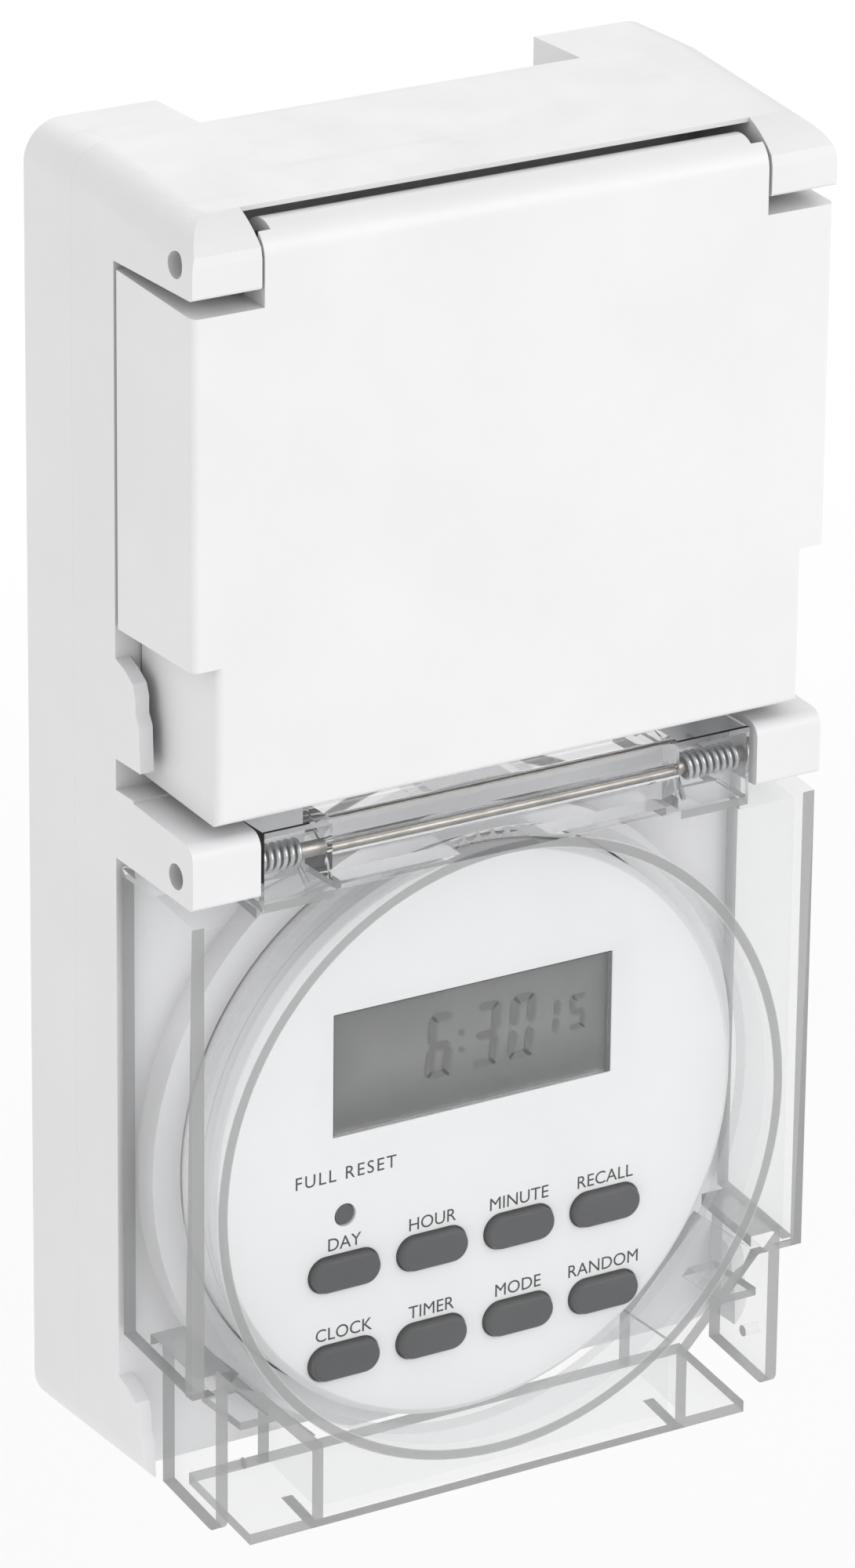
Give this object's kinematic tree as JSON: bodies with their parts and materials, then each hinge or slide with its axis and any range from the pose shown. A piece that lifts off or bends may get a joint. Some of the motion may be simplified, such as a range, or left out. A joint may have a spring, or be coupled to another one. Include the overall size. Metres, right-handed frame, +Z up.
{
  "type": "irrigation controller",
  "caption": "Plug-in outdoor socket timer for watering: white housing, sprung lid over a socket, clear sprung cover over a round display and keys, plug on the back.",
  "frame": {"origin": "centre of the end face of the plug on the back", "axes": "+X to the right seen from the front, +Y to the back along the plug's pins, +Z up"},
  "size_m": [0.09, 0.065, 0.174],
  "materials": {
    "white_housing": "white moulded plastic with a faint satin texture",
    "white_lid": "white moulded plastic, smooth satin",
    "socket_plastic": "white heat-resistant plastic",
    "module_plastic": "white satin plastic with printed labels",
    "clear_plastic": "clear polished plastic with greyish cut edges",
    "display_window": "thin clear window",
    "display_glass": "grey reflective liquid crystal panel",
    "key_plastic": "dark grey keys",
    "key_rubber": "grey silicone",
    "connector_rubber": "layered rubber strip",
    "black_rubber": "soft black rubber",
    "seal_rubber": "soft grey rubber",
    "steel": "drawn wire and rod, bright zinc",
    "earth_steel": "pressed strip, nickel plated",
    "dark_screws": "blackened cross-recess screws",
    "nickel_pins": "nickel plated round pins",
    "contact_brass": "sprung brass sleeves",
    "circuit_board": "green circuit board",
    "chip_black": "moulded chip package",
    "battery_can": "rolled steel cell",
    "relay_case": "blue relay case",
    "capacitor_case": "dark red film capacitor",
    "wire_brown": "insulation",
    "wire_black": "insulation",
    "wire_blue": "insulation",
    "wire_grey": "insulation"
  },
  "bodies": {
    "housing": {"back_shell": "white_housing", "front_shell": "white_housing", "shell_seal": "black_rubber", "case_screws": "dark_screws", "lid_hinge_pin": "steel", "cover_hinge_pin": "steel", "lid_spring_left": "steel", "lid_spring_right": "steel", "cover_spring_left": "steel", "cover_spring_right": "steel", "socket_insert": "socket_plastic", "socket_contacts": "contact_brass", "socket_earth_clip": "earth_steel", "plug_body": "socket_plastic", "plug_pins": "nickel_pins", "plug_earth_strips": "earth_steel", "plug_seal": "black_rubber", "module_case": "module_plastic", "module_gasket": "black_rubber", "module_face": "module_plastic", "module_screws": "dark_screws", "lcd_window": "display_window", "lcd_panel": "display_glass", "lcd_connector": "connector_rubber", "key_mat": "key_rubber", "control_board": "circuit_board", "control_chip": "chip_black", "backup_battery": "battery_can", "power_board": "circuit_board", "relay": "relay_case", "supply_capacitor": "capacitor_case", "wire_line_in": "wire_brown", "wire_switched": "wire_black", "wire_neutral": "wire_blue", "wire_module": "wire_grey", "neutral_link": "contact_brass"},
    "lid": {"socket_lid": "white_lid", "lid_seal": "seal_rubber"},
    "cover": {"clear_cover": "clear_plastic"},
    "key_day": {"key_day": "key_plastic"},
    "key_hour": {"key_hour": "key_plastic"},
    "key_minute": {"key_minute": "key_plastic"},
    "key_recall": {"key_recall": "key_plastic"},
    "key_clock": {"key_clock": "key_plastic"},
    "key_program": {"key_program": "key_plastic"},
    "key_mode": {"key_mode": "key_plastic"},
    "key_random": {"key_random": "key_plastic"},
    "reset": {"reset_button": "key_plastic"}
  },
  "joints": [
    {"name": "lid_hinge", "type": "hinge", "parent": "housing", "child": "lid", "pos_m": [0, -0.042, 0.0393], "axis": [-1, 0, 0], "range_deg": [0, 110], "stiffness_Nm_per_rad": 0.012, "springref_deg": -68.75, "deforming": ["lid_spring_left", "lid_spring_right"]},
    {"name": "cover_hinge", "type": "hinge", "parent": "housing", "child": "cover", "pos_m": [0, -0.042, -0.0372], "axis": [-1, 0, 0], "range_deg": [0, 100], "stiffness_Nm_per_rad": 0.012, "springref_deg": -68.75, "deforming": ["cover_spring_left", "cover_spring_right"]},
    {"name": "key_day_press", "type": "slide", "parent": "housing", "child": "key_day", "axis": [0, 1, 0], "range_m": [0, 0.0008], "stiffness_N_per_m": 1500, "springref_m": -0.0003},
    {"name": "key_hour_press", "type": "slide", "parent": "housing", "child": "key_hour", "axis": [0, 1, 0], "range_m": [0, 0.0008], "stiffness_N_per_m": 1500, "springref_m": -0.0003},
    {"name": "key_minute_press", "type": "slide", "parent": "housing", "child": "key_minute", "axis": [0, 1, 0], "range_m": [0, 0.0008], "stiffness_N_per_m": 1500, "springref_m": -0.0003},
    {"name": "key_recall_press", "type": "slide", "parent": "housing", "child": "key_recall", "axis": [0, 1, 0], "range_m": [0, 0.0008], "stiffness_N_per_m": 1500, "springref_m": -0.0003},
    {"name": "key_clock_press", "type": "slide", "parent": "housing", "child": "key_clock", "axis": [0, 1, 0], "range_m": [0, 0.0008], "stiffness_N_per_m": 1500, "springref_m": -0.0003},
    {"name": "key_program_press", "type": "slide", "parent": "housing", "child": "key_program", "axis": [0, 1, 0], "range_m": [0, 0.0008], "stiffness_N_per_m": 1500, "springref_m": -0.0003},
    {"name": "key_mode_press", "type": "slide", "parent": "housing", "child": "key_mode", "axis": [0, 1, 0], "range_m": [0, 0.0008], "stiffness_N_per_m": 1500, "springref_m": -0.0003},
    {"name": "key_random_press", "type": "slide", "parent": "housing", "child": "key_random", "axis": [0, 1, 0], "range_m": [0, 0.0008], "stiffness_N_per_m": 1500, "springref_m": -0.0003},
    {"name": "reset_press", "type": "slide", "parent": "housing", "child": "reset", "axis": [0, 1, 0], "range_m": [0, 0.0008], "stiffness_N_per_m": 1500, "springref_m": -0.0003}
  ]
}
